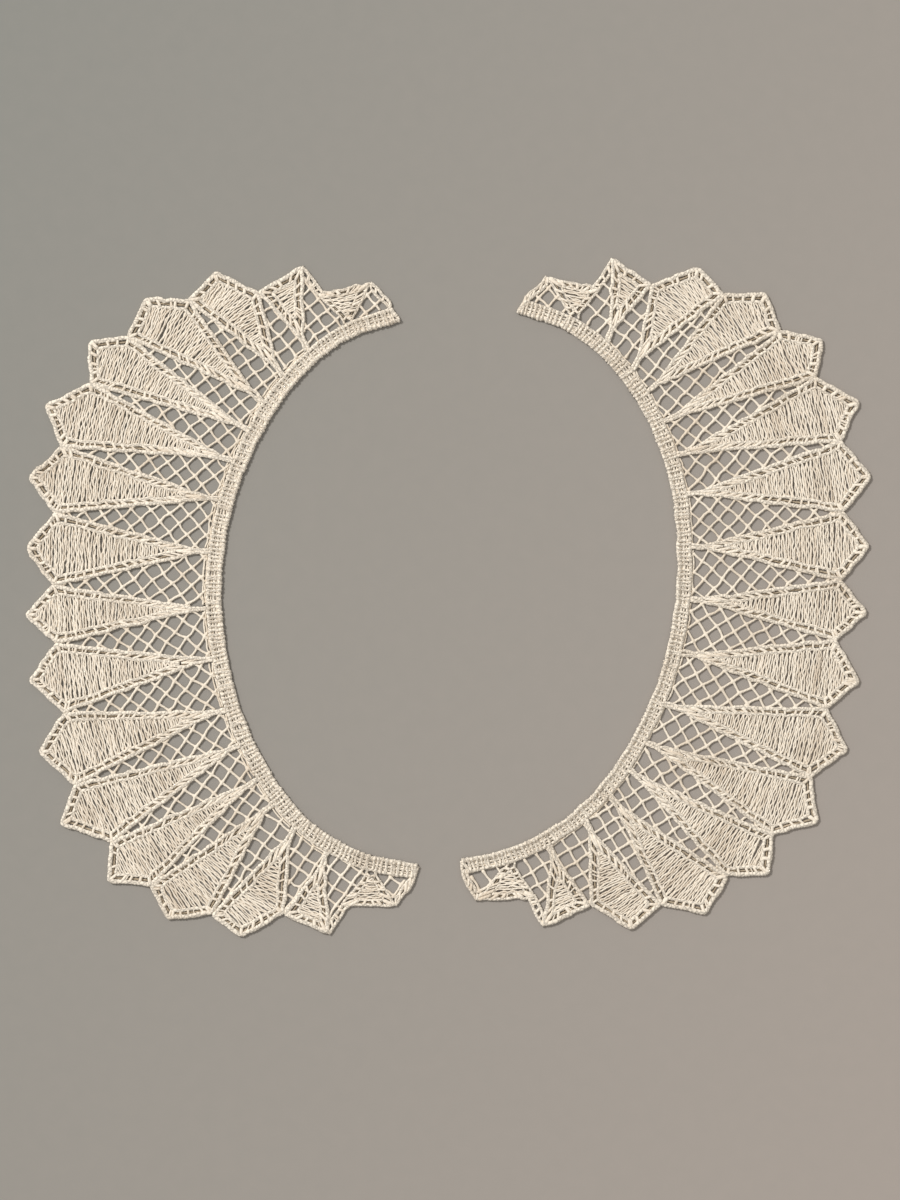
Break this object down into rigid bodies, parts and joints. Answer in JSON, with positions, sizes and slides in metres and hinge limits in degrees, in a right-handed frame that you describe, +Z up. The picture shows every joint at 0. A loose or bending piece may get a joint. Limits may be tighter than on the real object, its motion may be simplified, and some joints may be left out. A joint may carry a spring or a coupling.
{
  "type": "two-piece lace collar",
  "caption": "Flat lace collar in two curved halves: a narrow neck band with long pointed petals and panels of square net between them.",
  "frame": {"origin": "middle of the two halves as they lie, on the surface they lie on", "axes": "+X across the pair towards the right half, +Y towards the wide gap between the halves' upper ends, +Z up off the surface"},
  "size_m": [0.2346, 0.1876, 0.0017],
  "materials": {
    "cotton_cord": "ecru cotton thread, satin-stitched, matt with a slight sheen",
    "cotton_net": "ecru cotton thread, fine twisted bars, matt"
  },
  "bodies": {
    "root": {"left_band": "cotton_cord", "left_net_01": "cotton_net", "left_net_02": "cotton_net", "left_net_03": "cotton_net", "left_net_04": "cotton_net", "left_net_05": "cotton_net", "left_net_06": "cotton_net", "left_net_07": "cotton_net", "left_net_08": "cotton_net", "left_net_09": "cotton_net", "left_net_10": "cotton_net", "left_net_11": "cotton_net", "left_net_12": "cotton_net", "left_net_13": "cotton_net", "left_net_14": "cotton_net", "left_petal_01": "cotton_cord", "left_petal_02": "cotton_cord", "left_petal_03": "cotton_cord", "left_petal_04": "cotton_cord", "left_petal_05": "cotton_cord", "left_petal_06": "cotton_cord", "left_petal_07": "cotton_cord", "left_petal_08": "cotton_cord", "left_petal_09": "cotton_cord", "left_petal_10": "cotton_cord", "left_petal_11": "cotton_cord", "left_petal_12": "cotton_cord", "left_petal_13": "cotton_cord", "left_end_upper": "cotton_cord", "left_end_lower": "cotton_cord", "right_band": "cotton_cord", "right_net_01": "cotton_net", "right_net_02": "cotton_net", "right_net_03": "cotton_net", "right_net_04": "cotton_net", "right_net_05": "cotton_net", "right_net_06": "cotton_net", "right_net_07": "cotton_net", "right_net_08": "cotton_net", "right_net_09": "cotton_net", "right_net_10": "cotton_net", "right_net_11": "cotton_net", "right_net_12": "cotton_net", "right_net_13": "cotton_net", "right_net_14": "cotton_net", "right_petal_01": "cotton_cord", "right_petal_02": "cotton_cord", "right_petal_03": "cotton_cord", "right_petal_04": "cotton_cord", "right_petal_05": "cotton_cord", "right_petal_06": "cotton_cord", "right_petal_07": "cotton_cord", "right_petal_08": "cotton_cord", "right_petal_09": "cotton_cord", "right_petal_10": "cotton_cord", "right_petal_11": "cotton_cord", "right_petal_12": "cotton_cord", "right_petal_13": "cotton_cord", "right_end_upper": "cotton_cord", "right_end_lower": "cotton_cord"}
  },
  "joints": []
}
